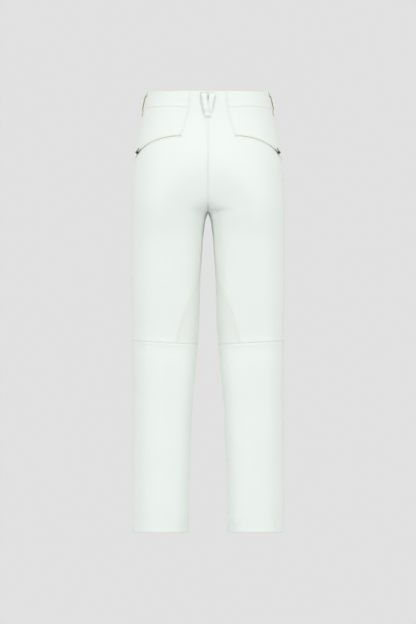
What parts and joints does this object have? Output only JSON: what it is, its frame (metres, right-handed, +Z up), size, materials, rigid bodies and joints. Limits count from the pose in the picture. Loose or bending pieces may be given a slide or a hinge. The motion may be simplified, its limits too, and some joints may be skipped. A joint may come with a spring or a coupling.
{
  "type": "ski pants",
  "caption": "Insulated ski pants with shaped waist, curved rear pocket zips, belt loops, inner-leg gussets, bending knees and snow gaiters.",
  "frame": {"origin": "middle of the waist opening, in the plane of the waist edge", "axes": "+Z up along the legs, +Y out of the back, +X to the wearer's left"},
  "size_m": [0.365, 0.2664, 1.0478],
  "materials": {
    "shell_fabric": "matte white stretch twill",
    "gusset_fabric": "matte white stretch twill, a shade greyer",
    "facing_fabric": "soft brushed white",
    "lining_fabric": "smooth pale grey lining",
    "grip_rubber": "elastic with a silicone grip",
    "zip_tape": "tan coated zip tape and coil",
    "dark_metal": "gunmetal",
    "pull_plastic": "soft off-white",
    "stud_metal": "satin painted"
  },
  "bodies": {
    "pants_body": {"waistband_left": "shell_fabric", "waistband_right": "shell_fabric", "waist_facing_left": "facing_fabric", "waist_facing_right": "facing_fabric", "back_panel_left": "shell_fabric", "back_panel_right": "shell_fabric", "back_yoke_left": "shell_fabric", "back_yoke_right": "shell_fabric", "front_panel_left": "shell_fabric", "front_panel_right": "shell_fabric", "gusset_left": "gusset_fabric", "gusset_right": "gusset_fabric", "knee_panel_left": "shell_fabric", "knee_panel_right": "shell_fabric", "knee_fold_left": "shell_fabric", "knee_fold_right": "shell_fabric", "leg_lining_left": "lining_fabric", "leg_lining_right": "lining_fabric", "rear_zip_left": "zip_tape", "rear_zip_right": "zip_tape", "front_zip_left": "zip_tape", "front_zip_right": "zip_tape", "rear_pocket_bag_left": "lining_fabric", "rear_pocket_bag_right": "lining_fabric", "front_pocket_bag_left": "lining_fabric", "front_pocket_bag_right": "lining_fabric", "side_loop_left": "shell_fabric", "side_loop_right": "shell_fabric", "front_loop_left": "shell_fabric", "front_loop_right": "shell_fabric", "back_loop_arm_left": "shell_fabric", "back_loop_arm_right": "shell_fabric", "fly_zip": "zip_tape", "fly_shield": "lining_fabric", "stud_sockets": "stud_metal"},
    "shin_left": {"lower_back_left": "shell_fabric", "lower_front_left": "shell_fabric", "hem_facing_left": "facing_fabric", "snow_gaiter_left": "lining_fabric", "gaiter_elastic_left": "grip_rubber"},
    "shin_right": {"lower_back_right": "shell_fabric", "lower_front_right": "shell_fabric", "hem_facing_right": "facing_fabric", "snow_gaiter_right": "lining_fabric", "gaiter_elastic_right": "grip_rubber"},
    "rear_slider_left": {"rear_slider_left": "dark_metal"},
    "rear_pull_left": {"rear_pull_left": "pull_plastic"},
    "rear_slider_right": {"rear_slider_right": "dark_metal"},
    "rear_pull_right": {"rear_pull_right": "pull_plastic"},
    "front_slider_left": {"front_slider_left": "dark_metal"},
    "front_pull_left": {"front_pull_left": "pull_plastic"},
    "front_slider_right": {"front_slider_right": "dark_metal"},
    "front_pull_right": {"front_pull_right": "pull_plastic"},
    "fly_slider": {"fly_slider": "dark_metal", "fly_pull": "pull_plastic"},
    "fly_flap": {"fly_flap": "shell_fabric"},
    "waist_tab": {"waist_tab": "shell_fabric", "stud_caps": "stud_metal"}
  },
  "joints": [
    {"name": "knee_left", "type": "hinge", "parent": "pants_body", "child": "shin_left", "pos_m": [0.10262, 0, -0.596], "axis": [1, 0, 0], "range_deg": [0, 60], "deforming": ["knee_fold_left", "leg_lining_left"]},
    {"name": "knee_right", "type": "hinge", "parent": "pants_body", "child": "shin_right", "pos_m": [-0.10262, 0, -0.596], "axis": [1, 0, 0], "range_deg": [0, 60], "deforming": ["knee_fold_right", "leg_lining_right"]},
    {"name": "rear_zip_left", "type": "hinge", "parent": "pants_body", "child": "rear_slider_left", "pos_m": [0.04619, 0.01579, -0.18868], "axis": [-0.0941, -0.5966, 0.797], "range_deg": [0, 54.38]},
    {"name": "rear_pull_left", "type": "hinge", "parent": "rear_slider_left", "child": "rear_pull_left", "pos_m": [0.16984, 0.05455, -0.14648], "axis": [-0.0743, 0.535, -0.8416], "range_deg": [0, 140]},
    {"name": "rear_zip_right", "type": "hinge", "parent": "pants_body", "child": "rear_slider_right", "pos_m": [-0.04619, 0.01579, -0.18868], "axis": [-0.0941, 0.5966, -0.797], "range_deg": [0, 54.38]},
    {"name": "rear_pull_right", "type": "hinge", "parent": "rear_slider_right", "child": "rear_pull_right", "pos_m": [-0.16984, 0.05455, -0.14648], "axis": [-0.0743, -0.535, 0.8416], "range_deg": [0, 140]},
    {"name": "front_zip_left", "type": "hinge", "parent": "pants_body", "child": "front_slider_left", "pos_m": [-0.56614, -0.26378, -0.35753], "axis": [-0.2695, 0.9625, 0.032], "range_deg": [0, 10.12]},
    {"name": "front_pull_left", "type": "hinge", "parent": "front_slider_left", "child": "front_pull_left", "pos_m": [0.13147, -0.08351, -0.06977], "axis": [-0.6481, -0.6821, -0.3387], "range_deg": [0, 140]},
    {"name": "front_zip_right", "type": "hinge", "parent": "pants_body", "child": "front_slider_right", "pos_m": [0.56614, -0.26378, -0.35753], "axis": [-0.2695, -0.9625, -0.032], "range_deg": [0, 10.12]},
    {"name": "front_pull_right", "type": "hinge", "parent": "front_slider_right", "child": "front_pull_right", "pos_m": [-0.13147, -0.08351, -0.06977], "axis": [-0.6481, 0.6821, 0.3387], "range_deg": [0, 140]},
    {"name": "fly_zip", "type": "slide", "parent": "pants_body", "child": "fly_slider", "axis": [0, -0.065, -0.9979], "range_m": [0, 0.112]},
    {"name": "fly_flap", "type": "hinge", "parent": "pants_body", "child": "fly_flap", "pos_m": [0.018, -0.12557, -0.12], "axis": [0, 0, 1], "range_deg": [0, 100]},
    {"name": "waist_tab", "type": "hinge", "parent": "pants_body", "child": "waist_tab", "pos_m": [-0.036, -0.11497, -0.02], "axis": [0, 0, -1], "range_deg": [0, 110]}
  ]
}
